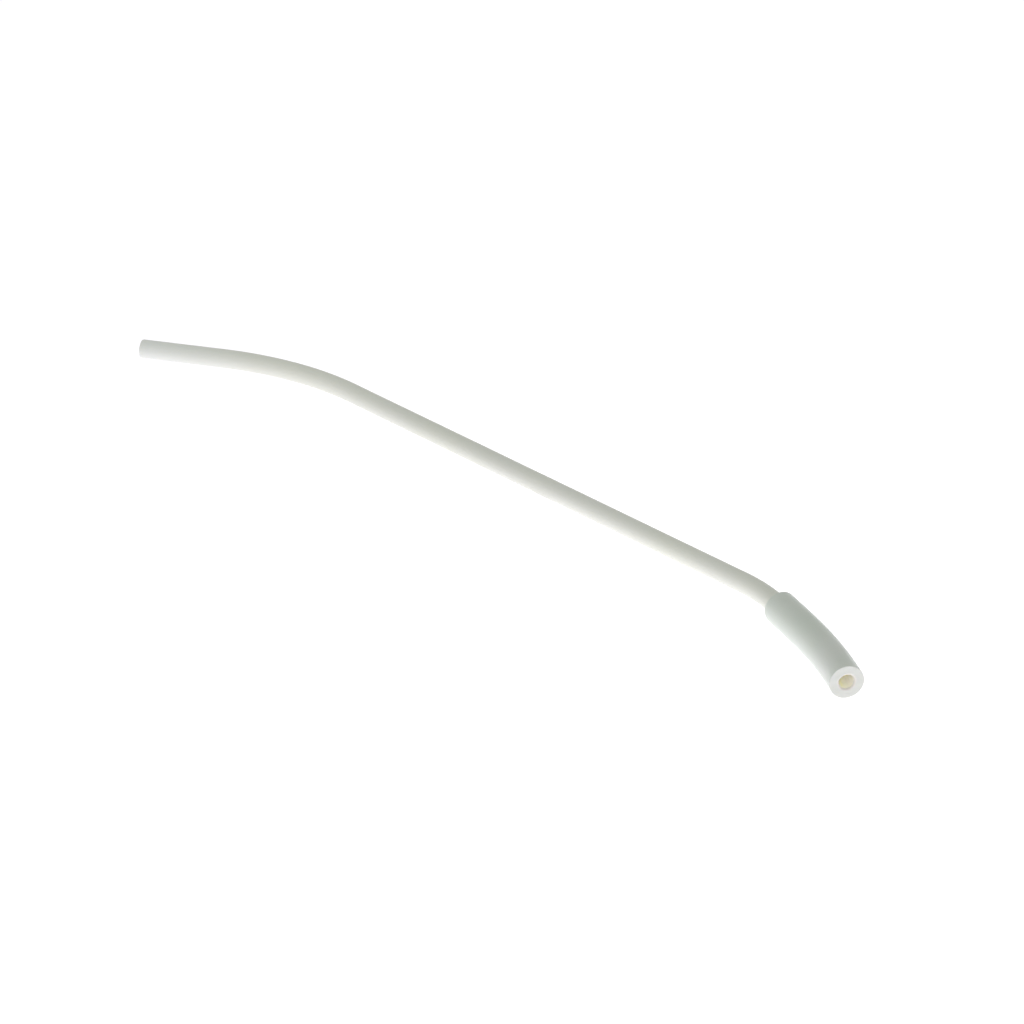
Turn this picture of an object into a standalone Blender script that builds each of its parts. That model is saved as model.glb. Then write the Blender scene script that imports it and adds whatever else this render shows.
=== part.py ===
# Slim saliva ejector tip: a rigid bent suction tube with a short, soft,
# thick-walled connector sleeve pushed on its rear end.
#
# Frame: metres, +Z up, +X along the tube's straight middle run towards the
# sleeve. The origin is under the middle of the whole part, on the surface it
# lies on. Both ends curve towards -Y.

import bpy
import bmesh
from math import cos, pi, radians, sin
from mathutils import Matrix, Vector

MM = 0.001

# ---- driving dimensions, millimetres and degrees ----------------------------
TUBE_OD = 4.0            # rigid tube, outside
TUBE_BORE = 2.8          # rigid tube, inside
TIP_EDGE = 0.15          # rounding of the mouth's outer rim

SLEEVE_OD = 6.5          # soft sleeve, outside: fits a saliva ejector valve
SLEEVE_BORE = 2.8        # through bore behind the socket, flush with the tube's
SLEEVE_LENGTH = 30.0     # along its own centreline
SOCKET_CLEARANCE = 0.05  # radial, between the socket's wall and the tube
SOCKET_DEPTH = 9.3       # the tube stops 0.3 short of the socket's step
SLEEVE_EDGE = 0.4        # moulded rounding at the end that the tube enters
MOUTH_EDGE = 0.4         # rounding of the bore's mouth at the free end
INSERTION = 9.0          # length of tube inside the sleeve

TIP_STRAIGHT = 18.0      # from the mouth to the first bend
TIP_BEND_R = 60.0
TIP_BEND = 32.0
MIDDLE_STRAIGHT = 112.5
REAR_BEND_R = 34.0
REAR_BEND = 18.5
SPIGOT_SHOW = 0.5        # straight tube that shows before the sleeve
SLEEVE_BEND = 12.0       # the soft sleeve droops in one even curve past the tube

SIDES = 32
TIP_STEPS = 14           # rings round each bend
REAR_STEPS = 9
SLEEVE_STEPS = 8

# ---- the shared centreline ---------------------------------------------------
# Straights and arcs in one plane, all arcs turning the same way. A point on it
# is found from the length along it, s, measured from the mouth. Heading is the
# angle of travel from +X, counter-clockwise.
SLEEVE_BEND_R = (SLEEVE_LENGTH - INSERTION) / radians(SLEEVE_BEND)
RUNS = [
    (TIP_STRAIGHT, 0.0),
    (TIP_BEND_R * radians(TIP_BEND), radians(TIP_BEND)),
    (MIDDLE_STRAIGHT, 0.0),
    (REAR_BEND_R * radians(REAR_BEND), radians(REAR_BEND)),
    (SPIGOT_SHOW + INSERTION, 0.0),
    (SLEEVE_BEND_R * radians(SLEEVE_BEND), radians(SLEEVE_BEND)),
]
KNOTS = [0.0]
for length, _ in RUNS:
    KNOTS.append(KNOTS[-1] + length)
TOTAL = KNOTS[-1]
TUBE_END = KNOTS[5]
SLEEVE_START = TOTAL - SLEEVE_LENGTH


def centreline(s):
    """The point (x, y) and heading at length s from the mouth."""
    x, y, heading = 0.0, 0.0, radians(TIP_BEND)
    for length, turn in RUNS:
        step = min(s, length)
        if turn:
            radius = length / turn
            after = heading - step / radius
            x += radius * (sin(heading) - sin(after))
            y += radius * (cos(after) - cos(heading))
            heading = after
        else:
            x += step * cos(heading)
            y += step * sin(heading)
        s -= step
        if s <= 1e-9:
            break
    return x, y, heading


# ---- how the part lies -------------------------------------------------------
# The sleeve is fatter than the tube, so the part rests on the sleeve's front
# rim and on the whole straight length at the mouth. The centreline's plane
# therefore leans a little. Its normal goes through three points of contact:
# the tube's underside at both ends of the mouth's straight, and the sleeve's
# underside just behind its rounded rim. The straight is long enough for the
# centre of mass to lie inside these three points, so the part lies still.
def under(s, radius):
    x, y, _ = centreline(s)
    return Vector((x, y, -radius))


a = under(0.0, TUBE_OD / 2)
b = under(TIP_STRAIGHT, TUBE_OD / 2)
c = under(SLEEVE_START + SLEEVE_EDGE, SLEEVE_OD / 2)
normal = (c - a).cross(b - a).normalized()
if normal.z < 0:
    normal = -normal
LEAN = normal.rotation_difference(Vector((0, 0, 1))).to_matrix().to_4x4()


def station(s, radius):
    """A ring's place across the centreline: its own X is up, Y is level."""
    x, y, heading = centreline(s)
    forward = Vector((cos(heading), sin(heading), 0.0))
    level = Vector((-sin(heading), cos(heading), 0.0))
    up = Vector((0.0, 0.0, 1.0))
    place = Matrix((up, level, -forward)).transposed().to_4x4()
    place.translation = Vector((x, y, 0.0))
    return LEAN @ place, radius


def steps(start, end, count):
    return [start + (end - start) * i / count for i in range(count + 1)]


def rim(s, radius, edge, along, count):
    """Rings of a quarter-round edge where an end face at s meets a side, from
    the face to the side. A negative edge opens a bore's mouth instead. along is
    +1 where the side runs towards larger s."""
    found = []
    for i in range(count + 1):
        angle = (pi / 2) * i / count
        found.append((s + along * abs(edge) * (1 - cos(angle)),
                      radius - edge * (1 - sin(angle))))
    return found


def turned_along(name, rings, loop_material, sharp=radians(35)):
    """One closed body: a circle extruded from ring to ring, and back to the
    first one, where its two ends are welded."""
    bm = bmesh.new()
    made = bmesh.ops.create_circle(bm, cap_ends=False, radius=1.0, segments=SIDES)
    unit = {v: v.co.copy() for v in made["verts"]}
    edges = bm.edges[:]
    place, radius = station(*rings[0])
    for v, at in unit.items():
        v.co = place @ (at * radius)
    for ring in rings[1:] + rings[:1]:
        place, radius = station(*ring)
        before = {v.co[:]: at for v, at in unit.items()}
        made = bmesh.ops.extrude_edge_only(bm, edges=edges)["geom"]
        unit = {v: before[v.co[:]] for v in made
                if isinstance(v, bmesh.types.BMVert)}
        edges = [e for e in made if isinstance(e, bmesh.types.BMEdge)
                 and all(v in unit for v in e.verts)]
        for v, at in unit.items():
            v.co = place @ (at * radius)
    bmesh.ops.remove_doubles(bm, verts=bm.verts[:], dist=1e-4)
    bmesh.ops.recalc_face_normals(bm, faces=bm.faces[:])
    bm.transform(Matrix.Scale(MM, 4))
    mesh = bpy.data.meshes.new(name)
    bm.to_mesh(mesh)
    bm.free()
    mesh.shade_smooth()
    mesh.set_sharp_from_angle(angle=sharp)
    mesh.materials.append(loop_material)
    thing = bpy.data.objects.new(name, mesh)
    bpy.context.collection.objects.link(thing)
    return thing


def plastic(name, colour, roughness, metallic=0.0):
    m = bpy.data.materials.new(name)
    m.use_nodes = True
    shader = m.node_tree.nodes["Principled BSDF"]
    shader.inputs["Base Color"].default_value = (*colour, 1.0)
    shader.inputs["Roughness"].default_value = roughness
    shader.inputs["Metallic"].default_value = metallic
    m.diffuse_color = (*colour, 1.0)
    return m


def move_origin(thing, point):
    """Puts an object's origin at a world point; its surface stays where it is."""
    thing.data.transform(Matrix.Translation(-point))
    thing.location = point


# ---- build -------------------------------------------------------------------
for old in list(bpy.data.objects):
    bpy.data.objects.remove(old, do_unlink=True)

ivory = plastic("tube_ivory_plastic", (0.62, 0.62, 0.55), 0.42)
milky = plastic("sleeve_silicone", (0.50, 0.55, 0.50), 0.50)

# Suction tube. The bends get rings; the straights have one at each end.
along = [0.0, KNOTS[1]]
along += steps(KNOTS[1], KNOTS[2], TIP_STEPS)[1:]
along += steps(KNOTS[3], KNOTS[4], REAR_STEPS)
along += [TUBE_END]
outside = rim(0.0, TUBE_OD / 2, TIP_EDGE, 1, 2)
outside += [(s, TUBE_OD / 2) for s in along[1:]]
inside = [(s, TUBE_BORE / 2) for s in reversed(along)]
suction_tube = turned_along("suction_tube", outside + inside, ivory)

# Connector sleeve: a straight socket round the tube's end, a step, then the
# through bore, whose mouth is rounded. The rear end is cut square. The outside
# stays straight over the tube and curves behind it.
curve = steps(KNOTS[5], TOTAL, SLEEVE_STEPS)
step_at = SLEEVE_START + SOCKET_DEPTH
socket_r = TUBE_OD / 2 + SOCKET_CLEARANCE
outside = rim(SLEEVE_START, SLEEVE_OD / 2, SLEEVE_EDGE, 1, 4)
outside += [(s, SLEEVE_OD / 2) for s in curve]
inside = rim(TOTAL, SLEEVE_BORE / 2, -MOUTH_EDGE, -1, 3)
inside += [(s, SLEEVE_BORE / 2) for s in reversed(curve[1:-1])]
inside += [(step_at, SLEEVE_BORE / 2), (step_at, socket_r),
           (SLEEVE_START, socket_r)]
connector_sleeve = turned_along("connector_sleeve", outside + inside, milky)

# ---- origin under the middle of the whole part, on the surface it lies on ----
pieces = [suction_tube, connector_sleeve]
points = [v.co.copy() for p in pieces for v in p.data.vertices]
low = Vector([min(p[i] for p in points) for i in range(3)])
high = Vector([max(p[i] for p in points) for i in range(3)])
shift = -Vector(((low.x + high.x) / 2, (low.y + high.y) / 2, low.z))
for p in pieces:
    p.data.transform(Matrix.Translation(shift))


def world(s):
    x, y, _ = centreline(s)
    return (LEAN @ Vector((x, y, 0.0))) * MM + shift


def travel(s):
    heading = centreline(s)[2]
    return (LEAN.to_3x3() @ Vector((cos(heading), sin(heading), 0.0))).normalized()


# The sleeve pulls off along the tube's straight end, so its origin is on that
# axis, where the tube enters it. The tube's is at its mouth.
move_origin(suction_tube, world(0.0))
move_origin(connector_sleeve, world(SLEEVE_START))
bpy.context.view_layer.update()

print("mouth", [round(v, 6) for v in world(0.0)])
print("origin shift mm", [round(v / MM, 5) for v in shift])
print("sleeve start", [round(v, 6) for v in world(SLEEVE_START)])
print("pull-off axis", [round(v, 6) for v in travel(TUBE_END - 1.0)])
rear = world(TOTAL)
face_out = travel(TOTAL)
side = (LEAN.to_3x3() @ Vector((0.0, 0.0, 1.0))).normalized()
mid_wall = rear + side * (SLEEVE_OD / 2 + SLEEVE_BORE / 2 + MOUTH_EDGE) / 2 * MM
print("rear face centre", [round(v, 6) for v in rear])
print("rear face mid-wall", [round(v, 7) for v in mid_wall])
print("rear face normal", [round(v, 7) for v in face_out])
print("box mm", [round((high[i] - low[i]) / MM, 3) for i in range(3)])
print("lean normal", [round(v, 6) for v in normal])
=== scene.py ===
# Looks of the slim saliva ejector tip: fine meshes of the rigid suction tube and
# of the soft connector sleeve, their procedural materials, a white floor that
# glows like a light table, a soft grey studio round it, and the camera.

from math import cos, pi, radians, sin

import bpy
import numpy as np
from mathutils import Matrix, Vector


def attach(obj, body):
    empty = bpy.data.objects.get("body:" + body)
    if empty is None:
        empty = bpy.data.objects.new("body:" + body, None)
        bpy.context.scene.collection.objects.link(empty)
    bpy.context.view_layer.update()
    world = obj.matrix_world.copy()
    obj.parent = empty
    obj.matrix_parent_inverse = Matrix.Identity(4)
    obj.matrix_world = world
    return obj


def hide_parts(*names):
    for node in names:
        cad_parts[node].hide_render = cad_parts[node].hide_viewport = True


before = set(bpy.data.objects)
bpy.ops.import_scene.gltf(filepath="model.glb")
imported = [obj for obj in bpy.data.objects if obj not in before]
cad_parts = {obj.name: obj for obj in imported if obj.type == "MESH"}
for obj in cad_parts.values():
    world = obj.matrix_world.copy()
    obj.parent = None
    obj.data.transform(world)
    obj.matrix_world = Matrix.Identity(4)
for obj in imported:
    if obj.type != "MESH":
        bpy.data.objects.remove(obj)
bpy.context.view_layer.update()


MM = 0.001

# ---- the CAD model's own sizes, millimetres and degrees -----------------------
TUBE_R = 2.0
TUBE_BORE_R = 1.4
SLEEVE_R = 3.25
SLEEVE_BORE_R = 1.4
SLEEVE_LENGTH = 30.0
SOCKET_R = 2.05
SOCKET_DEPTH = 9.3
SLEEVE_EDGE = 0.4
MOUTH_EDGE = 0.4
TIP_STRAIGHT = 18.0
TIP_BEND = radians(32.0)
RUNS = [
    (TIP_STRAIGHT, 0.0),
    (60.0 * TIP_BEND, TIP_BEND),
    (112.5, 0.0),
    (34.0 * radians(18.5), radians(18.5)),
    (9.5, 0.0),
    (21.0, radians(12.0)),
]
KNOTS = [0.0]
for _length, _turn in RUNS:
    KNOTS.append(KNOTS[-1] + _length)
TOTAL = KNOTS[-1]
TUBE_END = KNOTS[5]
SLEEVE_START = TOTAL - SLEEVE_LENGTH


def centreline(s):
    """The point (x, y) and heading at length s from the mouth."""
    x, y, heading = 0.0, 0.0, TIP_BEND
    for length, turn in RUNS:
        step = min(s, length)
        if turn:
            radius = length / turn
            after = heading - step / radius
            x += radius * (sin(heading) - sin(after))
            y += radius * (cos(after) - cos(heading))
            heading = after
        else:
            x += step * cos(heading)
            y += step * sin(heading)
        s -= step
        if s <= 1e-9:
            break
    return x, y, heading


def under(s, radius):
    x, y, _ = centreline(s)
    return Vector((x, y, -radius))


_a, _b = under(0.0, TUBE_R), under(TIP_STRAIGHT, TUBE_R)
_c = under(SLEEVE_START + SLEEVE_EDGE, SLEEVE_R)
_n = (_c - _a).cross(_b - _a).normalized()
if _n.z < 0:
    _n = -_n
LEAN = np.array(_n.rotation_difference(Vector((0, 0, 1))).to_matrix())

# The middle of the mouth, which is the length 0 on the centreline.
MOUTH = np.array((-99.53754, -9.51394, 1.99973))


def noise_table(seed, count):
    return np.random.default_rng(seed).uniform(0, 2 * pi, count)


# ---- meshes ------------------------------------------------------------------
def sweep(name, rings, sides, shape):
    """A closed body swept along the centreline. rings is a list of
    (s, r, zone) round its profile, and shape(s, r, zone, theta) gives small
    real departures (ds, dr). Each vertex keeps its place along and round."""
    theta = np.arange(sides) * (2 * pi / sides)
    verts, along, bore, cut, lip = [], [], [], [], []
    for s, r, zone in rings:
        ds, dr = shape(s, r, zone, theta)
        x, y, heading = centreline(min(max(s, 0.0), TOTAL))
        if s > TOTAL:
            x += (s - TOTAL) * cos(heading)
            y += (s - TOTAL) * sin(heading)
        if s < 0:
            x += s * cos(heading)
            y += s * sin(heading)
        rr = r + dr
        up, level = rr * np.cos(theta), rr * np.sin(theta)
        px = x - sin(heading) * level + cos(heading) * ds
        py = y + cos(heading) * level + sin(heading) * ds
        pts = np.stack([px, py, up], 1)
        verts.append(pts @ LEAN.T + MOUTH)
        along.append(np.stack([np.cos(theta), np.sin(theta),
                               np.full(sides, s)], 1))
        bore.append(np.full(sides, zone[0]))
        cut.append(np.full(sides, zone[1]))
        lip.append(np.full(sides, zone[2] if len(zone) > 2 else 0.0))
    count = len(rings)
    k = np.arange(sides)
    faces = []
    for i in range(count):
        a, b = i * sides, ((i + 1) % count) * sides
        faces.append(np.stack([a + k, b + k, b + (k + 1) % sides,
                               a + (k + 1) % sides], 1))
    verts = np.concatenate(verts) * MM
    faces = np.concatenate(faces)
    mesh = bpy.data.meshes.new(name)
    mesh.from_pydata(verts.tolist(), [], faces.tolist())
    for label, data, kind in (("along", np.concatenate(along), "FLOAT_VECTOR"),
                              ("bore", np.concatenate(bore), "FLOAT"),
                              ("cut", np.concatenate(cut), "FLOAT"),
                              ("lip", np.concatenate(lip), "FLOAT")):
        layer = mesh.attributes.new(label, kind, "POINT")
        if kind == "FLOAT":
            layer.data.foreach_set("value", data.astype(np.float32))
        else:
            layer.data.foreach_set("vector", data.astype(np.float32).ravel())
    mesh.validate()
    mesh.update()
    # faces out: the signed volume has to be positive
    v0, v1, v2, v3 = (verts[faces[:, i]] for i in range(4))
    volume = (np.einsum("ij,ij->i", v0, np.cross(v1, v2))
              + np.einsum("ij,ij->i", v0, np.cross(v2, v3))).sum() / 6
    if volume < 0:
        mesh.flip_normals()
    mesh.shade_smooth()
    mesh.set_sharp_from_angle(angle=radians(50))
    thing = bpy.data.objects.new(name, mesh)
    bpy.context.scene.collection.objects.link(thing)
    return thing


def spread(start, end, pitch):
    count = max(1, int(round(abs(end - start) / pitch)))
    return [start + (end - start) * i / count for i in range(count + 1)]


def corner(s, r, edge, along, out, count, zone, reverse=False):
    """A quarter round where a side of radius r meets an end face at s. along is
    +1 if the side runs towards larger s. out is +1 outside, -1 in a bore. The
    rings run from the face to the side."""
    found = []
    for i in range(count + 1):
        t = (pi / 2) * i / count
        z = zone(i / count) if callable(zone) else zone
        found.append((s + along * edge * (1 - cos(t)),
                      r - out * edge * (1 - sin(t)), z))
    return found[::-1] if reverse else found


OUT, IN, CUT = (0.0, 0.0), (1.0, 0.0), (0.0, 1.0)

# Suction tube. Drawn and bent: the bends are a hair out of round, flatter
# across the bend's own plane, and the wall is very slightly wavy.
tube_phase = noise_table(11, 12)


def in_bend(s):
    """0 on the straights, 1 in the middle of a bend, smooth between."""
    found = 0.0
    for low, high in ((KNOTS[1], KNOTS[2]), (KNOTS[3], KNOTS[4])):
        ease = 5.0
        t = min((s - low + ease) / (2 * ease), (high + ease - s) / (2 * ease))
        t = min(max(t, 0.0), 1.0)
        found = max(found, t * t * (3 - 2 * t))
    return found


def tube_shape(s, r, zone, theta):
    p = tube_phase
    oval = -0.014 * r * in_bend(s) * (np.sin(theta) ** 2 - 0.5)
    wave = 0.0035 * np.sin(2 * pi * s / 41 + p[0] + theta) \
        + 0.0025 * np.sin(2 * pi * s / 23 + p[1] - 2 * theta) \
        + 0.0018 * np.sin(2 * pi * s / 9.5 + p[2] + 3 * theta)
    face = 1.0 - min(1.0, abs(s) / 0.4) if s < 1 else 0.0
    ds = face * (0.018 * np.sin(theta + p[3]) + 0.010 * np.sin(2 * theta + p[4])
                 + 0.006 * np.sin(5 * theta + p[5]))
    return ds, oval + wave


rim_zone = lambda t: (0.0, 1.0 - t)
side = spread(0.18, KNOTS[1], 1.2) + spread(KNOTS[1], KNOTS[2], 0.9)[1:] \
    + spread(KNOTS[2], KNOTS[3], 1.9)[1:] + spread(KNOTS[3], KNOTS[4], 0.8)[1:] \
    + spread(KNOTS[4], TUBE_END - 0.08, 1.0)[1:]
rings = corner(0.0, TUBE_R, 0.18, 1, 1, 6, rim_zone)
rings += [(s, TUBE_R, OUT) for s in side[1:]]
rings += corner(TUBE_END, TUBE_R, 0.08, -1, 1, 3, OUT, True)[1:]
rings += corner(TUBE_END, TUBE_BORE_R, 0.05, -1, -1, 2, IN)
inner = [s for s in spread(KNOTS[4], TUBE_END - 0.05, 2.0)[::-1]]
inner += spread(KNOTS[3], KNOTS[4], 1.4)[::-1][1:]
inner += spread(KNOTS[2], KNOTS[3], 5.0)[::-1][1:]
inner += spread(KNOTS[1], KNOTS[2], 1.6)[::-1][1:]
inner += spread(0.16, KNOTS[1], 1.6)[::-1][1:]
rings += [(s, TUBE_BORE_R, IN) for s in inner[1:]]
rings += corner(0.0, TUBE_BORE_R, 0.16, 1, -1, 5,
                lambda t: (t, 1.0 - t), True)[1:]
rings.append((0.0, (TUBE_R + TUBE_BORE_R) / 2, CUT))
tube = sweep("ejector_suction_tube", rings, 96, tube_shape)

# Connector sleeve. Soft, extruded and cut: one end rounded in a mould round the
# socket, the other sliced square by a blade that dragged a little.
sleeve_phase = noise_table(23, 16)


def sleeve_shape(s, r, zone, theta):
    p = sleeve_phase
    if zone[0] > 0.5 or r < 2.3:        # socket and bore
        deep = min(max((s - (SLEEVE_START + SOCKET_DEPTH + 1)) / 4, 0.0), 1.0)
        dr = deep * (0.022 * np.cos(2 * theta + p[0])
                     + 0.020 * np.cos(3 * theta + p[1])
                     + 0.008 * np.cos(5 * theta + p[2]))
    else:
        gripping = 0.018 * max(0.0, 1 - ((s - SLEEVE_START - 5.0) / 5.0) ** 2)
        dr = gripping + 0.006 * np.sin(2 * pi * s / 13 + p[3] + theta) \
            + 0.006 * np.sin(2 * pi * s / 7.1 + p[4] - 2 * theta) \
            + 0.004 * np.cos(3 * theta + p[5])
    ds = 0.0 * theta
    near = min(max(1 - (TOTAL - s) / 0.8, 0.0), 1.0)
    if near > 0:
        x, y = r * np.cos(theta), r * np.sin(theta)
        drag = 0.016 * np.sin(2.1 * x + 0.6 * y + p[6]) \
            + 0.009 * np.sin(4.3 * x - 1.7 * y + p[7]) \
            + 0.006 * np.sin(9.0 * x + 1.2 * y + p[8])
        lip = 0.020 * np.sin(theta + p[9]) + 0.012 * np.sin(3 * theta + p[10])
        ds = near * (drag + lip * (r / SLEEVE_R) ** 4)
        dr = dr + near * (r / SLEEVE_R) ** 6 * (
            0.014 * np.sin(5 * theta + p[11]) + 0.010 * np.sin(8 * theta + p[12]))
    return ds, dr


side = spread(SLEEVE_START + SLEEVE_EDGE, KNOTS[5], 0.7) \
    + spread(KNOTS[5], TOTAL - 0.9, 0.6)[1:] + spread(TOTAL - 0.9, TOTAL - 0.06, 0.2)[1:]
rings = corner(SLEEVE_START, SLEEVE_R, SLEEVE_EDGE, 1, 1, 9, OUT)
rings += [(s, SLEEVE_R, OUT) for s in side[1:]]
rings += corner(TOTAL, SLEEVE_R, 0.06, -1, 1, 4, rim_zone, True)[1:]
outer_r, inner_r = SLEEVE_R - 0.06, SLEEVE_BORE_R + MOUTH_EDGE
rings += [(TOTAL, outer_r + (inner_r - outer_r) * i / 14, CUT)
          for i in range(1, 14)]
rings += corner(TOTAL, SLEEVE_BORE_R, MOUTH_EDGE, -1, -1, 9,
                lambda t: (t ** 6, 1.0 - t ** 6, sin(pi * t ** 0.8)))
step_at = SLEEVE_START + SOCKET_DEPTH
inner = spread(step_at, TOTAL - MOUTH_EDGE, 0.8)[::-1]
rings += [(s, SLEEVE_BORE_R, IN) for s in inner[1:]]
rings += [(step_at, SOCKET_R, IN)]
rings += [(s, SOCKET_R, IN) for s in spread(SLEEVE_START + 0.1, step_at, 1.0)[::-1][1:]]
rings += corner(SLEEVE_START, SOCKET_R, 0.1, 1, -1, 3, lambda t: (t, 0.0), True)[1:]
face_r = [SOCKET_R + 0.1, SLEEVE_R - SLEEVE_EDGE]
rings += [(SLEEVE_START, face_r[0] + (face_r[1] - face_r[0]) * i / 4, OUT)
          for i in range(1, 4)]
sleeve = sweep("ejector_connector_sleeve", rings, 112, sleeve_shape)


# ---- materials ---------------------------------------------------------------
class Nodes:
    """A short way to write a material's node graph."""

    def __init__(self, name):
        self.material = bpy.data.materials.new(name)
        self.material.use_nodes = True
        self.tree = self.material.node_tree
        self.shader = self.tree.nodes["Principled BSDF"]

    def add(self, kind, inputs=None, **settings):
        node = self.tree.nodes.new(kind)
        for key, value in settings.items():
            setattr(node, key, value)
        for key, value in (inputs or {}).items():
            self.put(node.inputs[key], value)
        return node

    def put(self, socket, value):
        if isinstance(value, bpy.types.NodeSocket):
            self.tree.links.new(value, socket)
        else:
            socket.default_value = value

    def attribute(self, name):
        return self.add("ShaderNodeAttribute", attribute_name=name)

    def math(self, operation, a, b=0.0, c=0.0, clamp=False):
        return self.add("ShaderNodeMath", {0: a, 1: b, 2: c},
                        operation=operation, use_clamp=clamp).outputs[0]

    def scaled(self, vector, by):
        return self.add("ShaderNodeVectorMath", {0: vector, 1: by},
                        operation="MULTIPLY").outputs[0]

    def noise(self, vector, scale, detail=3.0, rough=0.55):
        return self.add("ShaderNodeTexNoise", {
            "Vector": vector, "Scale": scale, "Detail": detail,
            "Roughness": rough}).outputs["Fac"]

    def ramp(self, value, low, high, to_low, to_high):
        return self.add("ShaderNodeMapRange", {
            "Value": value, "From Min": low, "From Max": high,
            "To Min": to_low, "To Max": to_high}, clamp=True).outputs[0]

    def mix(self, factor, a, b, blend="MIX"):
        node = self.add("ShaderNodeMix", data_type="RGBA", blend_type=blend)
        self.put(node.inputs["Factor"], factor)
        self.put(node.inputs[6], a)
        self.put(node.inputs[7], b)
        return node.outputs[2]

    def bump(self, height, strength, distance, normal=None):
        node = self.add("ShaderNodeBump", {"Height": height,
                        "Strength": strength, "Distance": distance})
        if normal is not None:
            self.put(node.inputs["Normal"], normal)
        return node.outputs[0]


def colour(r, g, b):
    return (r, g, b, 1.0)


def tube_plastic():
    m = Nodes("tube_ivory_plastic")
    place = m.add("ShaderNodeTexCoord").outputs["Object"]
    along = m.attribute("along").outputs["Vector"]
    bore = m.attribute("bore").outputs["Fac"]
    cut = m.attribute("cut").outputs["Fac"]
    # cloudy tone of the unfilled plastic, a few millimetres across
    cloud = m.noise(place, 190.0, 3.0)
    warm = m.noise(place, 38.0, 2.0)
    tone = m.mix(m.ramp(warm, 0.35, 0.65, 0.0, 1.0),
                 colour(*TUBE_COOL), colour(*TUBE_WARM))
    tone = m.mix(m.ramp(cloud, 0.3, 0.7, 0.0, 0.10), tone,
                 colour(*TUBE_PALE))
    # paler towards the mouth, and cooler in its last centimetres
    place_along = m.add("ShaderNodeSeparateXYZ", {0: along}).outputs["Z"]
    tone = m.mix(m.ramp(place_along, 2.0, 80.0, 0.80, 0.0), tone,
                 colour(*TUBE_FORE))
    tone = m.mix(m.ramp(place_along, 2.0, 26.0, 0.80, 0.0), tone,
                 colour(*TUBE_TIP))
    # and a shade darker round the rear bend, where it was heated and drawn
    tone = m.mix(m.ramp(place_along, 156.0, 172.0, 0.0, 0.85), tone,
                 colour(*TUBE_REAR))
    # drawing lines: noise drawn out along the tube
    lines = m.noise(m.scaled(along, (9.0, 9.0, 0.035)), 3.2, 4.0, 0.6)
    fine = m.noise(m.scaled(along, (34.0, 34.0, 0.16)), 3.2, 3.0, 0.6)
    tone = m.mix(m.ramp(lines, 0.4, 0.75, 0.0, 0.06), tone,
                 colour(*[0.80 * c for c in TUBE_WARM]))
    # painted light: the bore is tinted yellow, standing in for light bounced inside it
    tone = m.mix(m.math("MULTIPLY", bore, 0.55), tone, colour(*TUBE_BORE_PAINTED_BOUNCE))
    tone = m.mix(m.math("MULTIPLY", cut, 0.35), tone, colour(*TUBE_PALE))
    m.put(m.shader.inputs["Base Color"], tone)
    rough = m.ramp(m.noise(place, 420.0, 4.0), 0.3, 0.7, 0.40, 0.52)
    rough = m.math("ADD", rough, m.math("MULTIPLY", fine, 0.05))
    m.put(m.shader.inputs["Roughness"], rough)
    grain = m.noise(place, 5200.0, 2.0)
    normal = m.bump(lines, 0.35, 0.00002)
    normal = m.bump(fine, 0.30, 0.000008, normal)
    normal = m.bump(grain, 0.22, 0.000006, normal)
    m.put(m.shader.inputs["Normal"], normal)
    m.shader.inputs["IOR"].default_value = 1.49
    m.shader.inputs["Subsurface Weight"].default_value = 0.12
    m.shader.inputs["Subsurface Radius"].default_value = (1.0, 0.95, 0.8)
    m.shader.inputs["Subsurface Scale"].default_value = 0.0006
    return m.material


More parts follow.
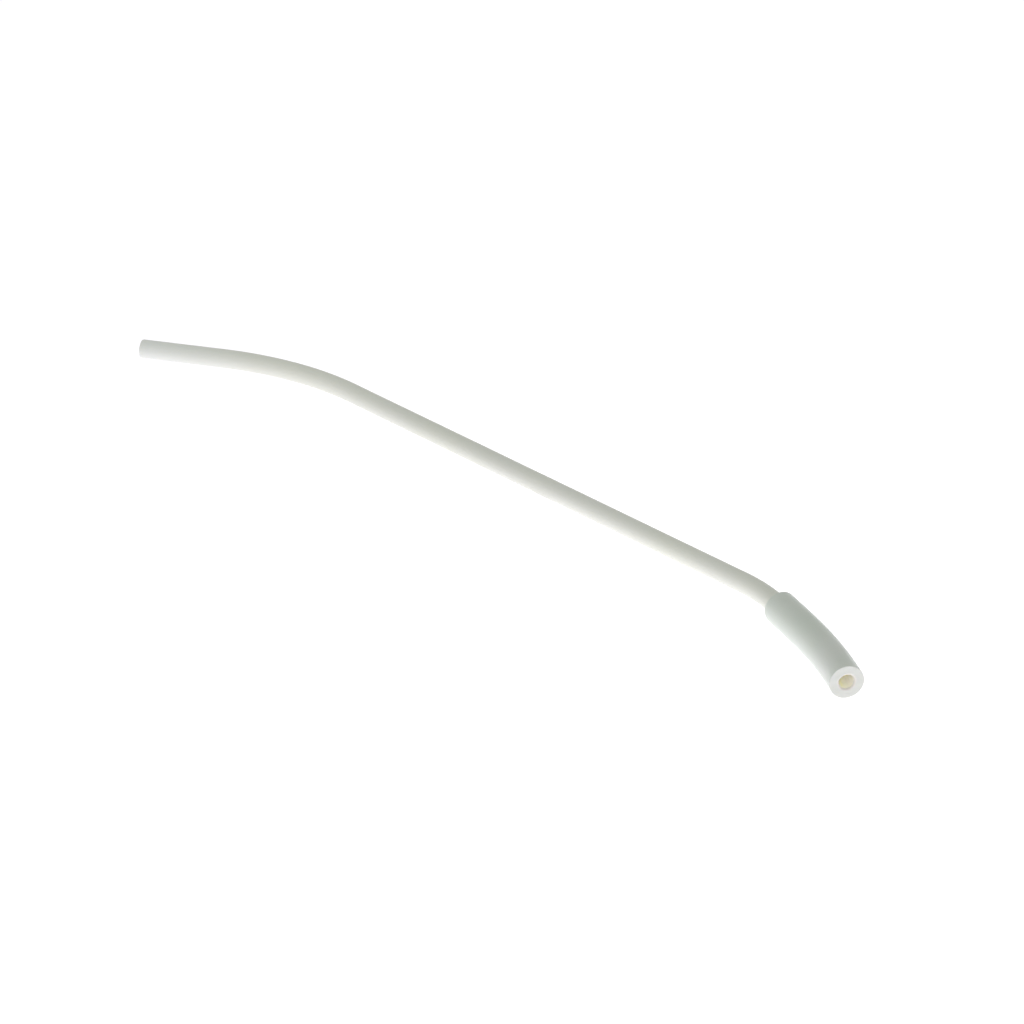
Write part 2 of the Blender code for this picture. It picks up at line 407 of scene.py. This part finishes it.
def silicone():
    m = Nodes("sleeve_milky_silicone")
    place = m.add("ShaderNodeTexCoord").outputs["Object"]
    along = m.attribute("along").outputs["Vector"]
    bore = m.attribute("bore").outputs["Fac"]
    cut = m.attribute("cut").outputs["Fac"]
    cloud = m.noise(place, 260.0, 4.0)
    patch = m.noise(place, 90.0, 2.0)
    tone = m.mix(m.ramp(patch, 0.35, 0.65, 0.0, 1.0),
                 colour(*SLEEVE_GREEN), colour(*SLEEVE_GREY))
    tone = m.mix(m.ramp(cloud, 0.3, 0.7, 0.0, 0.16), tone,
                 colour(*SLEEVE_PALE))
    lines = m.noise(m.scaled(along, (7.0, 7.0, 0.05)), 2.6, 4.0, 0.6)
    fine = m.noise(m.scaled(along, (30.0, 30.0, 0.3)), 2.6, 3.0, 0.6)
    tone = m.mix(m.ramp(lines, 0.45, 0.8, 0.0, 0.10), tone,
                 colour(*SLEEVE_PALE))
    # painted light: inside, the bore is painted yellow on one side and pink on the
    # other, standing in for light bounced in the bore and let through its wall
    round_it = m.add("ShaderNodeSeparateXYZ", {0: along}).outputs["Y"]
    tone = m.mix(bore, tone, m.mix(m.ramp(round_it, -0.5, 0.5, 0.0, 1.0),
                                   colour(*SLEEVE_BORE_PAINTED_GLOW_YELLOW), colour(*SLEEVE_BORE_PAINTED_GLOW_PINK)))
    # the sliced end scatters more and looks paler and greyer
    tone = m.mix(cut, tone, m.mix(m.ramp(cloud, 0.3, 0.7, 0.0, 1.0),
                                  colour(*SLEEVE_CUT), colour(*SLEEVE_CUT2)))
    # the bore's rounded mouth is a shade pinker than the face round it
    tone = m.mix(m.attribute("lip").outputs["Fac"], tone, colour(*SLEEVE_RIM))
    m.put(m.shader.inputs["Base Color"], tone)
    rough = m.ramp(m.noise(place, 700.0, 4.0), 0.3, 0.7, 0.34, 0.46)
    rough = m.math("ADD", rough, m.math("MULTIPLY", cut, 0.14))
    m.put(m.shader.inputs["Roughness"], rough)
    # blade marks on the sliced end: fine, nearly straight and parallel
    bent = m.add("ShaderNodeVectorMath", {
        0: m.scaled(place, (0.0, 2600.0, 9800.0)),
        1: m.scaled(m.add("ShaderNodeTexNoise", {"Vector": place, "Scale": 300.0,
                    "Detail": 2.0}).outputs["Color"], (2.0, 2.0, 2.0))},
        operation="ADD").outputs[0]
    blade = m.math("MULTIPLY", m.noise(bent, 1.0, 3.0, 0.6), cut)
    grain = m.noise(place, 3600.0, 3.0)
    normal = m.bump(lines, 0.30, 0.00003)
    normal = m.bump(fine, 0.25, 0.00001, normal)
    normal = m.bump(grain, 0.30, 0.00001, normal)
    normal = m.bump(blade, 0.55, 0.00003, normal)
    m.put(m.shader.inputs["Normal"], normal)
    m.shader.inputs["IOR"].default_value = 1.50
    # the wall lets light through to the bore
    m.put(m.shader.inputs["Subsurface Weight"], m.ramp(bore, 0.0, 1.0, 0.15, 1.0))
    m.put(m.shader.inputs["Subsurface Scale"], m.ramp(bore, 0.3, 1.0, 0.0012, 0.0042))
    m.shader.inputs["Subsurface Radius"].default_value = (1.0, 0.95, 0.75)
    return m.material


TUBE_WARM = (0.812, 0.824, 0.745)
TUBE_COOL = (0.812, 0.818, 0.768)
TUBE_PALE = (0.850, 0.850, 0.800)
TUBE_FORE = (0.905, 0.915, 0.840)
TUBE_TIP = (0.925, 0.947, 0.925)
TUBE_REAR = (0.765, 0.777, 0.705)
# painted light: the tube's bore tint stands in for light bounced inside it
TUBE_BORE_PAINTED_BOUNCE = (0.86, 0.83, 0.66)
SLEEVE_GREEN = (0.656, 0.710, 0.646)
SLEEVE_GREY = (0.688, 0.722, 0.678)
SLEEVE_PALE = (0.780, 0.790, 0.770)
# painted light in the sleeve's bore: bright yellow and pink for bounced and let-through
# light
SLEEVE_BORE_PAINTED_GLOW_YELLOW = (0.940, 0.935, 0.730)
SLEEVE_BORE_PAINTED_GLOW_PINK = (0.960, 0.885, 0.815)
SLEEVE_RIM = (0.815, 0.770, 0.735)
SLEEVE_CUT = (0.705, 0.725, 0.690)
SLEEVE_CUT2 = (0.748, 0.752, 0.722)

tube.data.materials.append(tube_plastic())
sleeve.data.materials.append(silicone())

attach(tube, "tube")
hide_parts("suction_tube")
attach(sleeve, "sleeve")
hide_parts("connector_sleeve")

# ---- floor, light and camera ---------------------------------------------------
FLOOR_GLOW = (1.03, 1.43)
STUDIO = (0.565, 0.576, 0.557)

mesh = bpy.data.meshes.new("floor")
half = 6.0
mesh.from_pydata([(-half, -half, 0), (half, -half, 0), (half, half, 0),
                  (-half, half, 0)], [], [(0, 1, 2, 3)])
floor = bpy.data.objects.new("floor", mesh)
floor.location.z = -0.00003
bpy.context.scene.collection.objects.link(floor)
glow = bpy.data.materials.new("light_table_white")
glow.use_nodes = True
shader = glow.node_tree.nodes["Principled BSDF"]
shader.inputs["Base Color"].default_value = (0.0, 0.0, 0.0, 1.0)
shader.inputs["Specular IOR Level"].default_value = 0.0
shader.inputs["Roughness"].default_value = 1.0
shader.inputs["Emission Color"].default_value = (1.0, 0.985, 1.015, 1.0)
# The glow falls off from the sleeve's end towards the mouth. It is over full
# white everywhere, so the floor itself stays plain white.
tree = glow.node_tree
where = tree.nodes.new("ShaderNodeSeparateXYZ")
tree.links.new(tree.nodes.new("ShaderNodeTexCoord").outputs["Object"],
               where.inputs[0])
fall = tree.nodes.new("ShaderNodeMapRange")
fall.interpolation_type = "SMOOTHSTEP"
for key, value in (("From Min", -0.14), ("From Max", 0.06),
                   ("To Min", FLOOR_GLOW[0]), ("To Max", FLOOR_GLOW[1])):
    fall.inputs[key].default_value = value
tree.links.new(where.outputs["X"], fall.inputs["Value"])
tree.links.new(fall.outputs[0], shader.inputs["Emission Strength"])
mesh.materials.append(glow)

world = bpy.data.worlds.new("soft_studio")
world.use_nodes = True
world.node_tree.nodes["Background"].inputs[0].default_value = (*STUDIO, 1.0)
world.node_tree.nodes["Background"].inputs[1].default_value = 1.0
bpy.context.scene.world = world
bpy.context.scene.view_settings.view_transform = "Standard"
bpy.context.scene.view_settings.look = "None"

AZIMUTH, ELEVATION, DISTANCE = radians(47.4392), radians(27.7495), 0.72093
TARGET = Vector((0.105169, 0.010002, 0.0)) + Vector((MOUTH[0], MOUTH[1], 0.0)) * MM
away = Vector((sin(AZIMUTH) * cos(ELEVATION), -cos(AZIMUTH) * cos(ELEVATION),
               sin(ELEVATION)))
data = bpy.data.cameras.new("camera")
data.sensor_width = 36.0
data.lens = 36.0 * 3686.85 / 1024
camera = bpy.data.objects.new("camera", data)
camera.location = TARGET + away * DISTANCE
camera.rotation_euler = (-away).to_track_quat("-Z", "Y").to_euler()
bpy.context.scene.collection.objects.link(camera)
bpy.context.scene.camera = camera
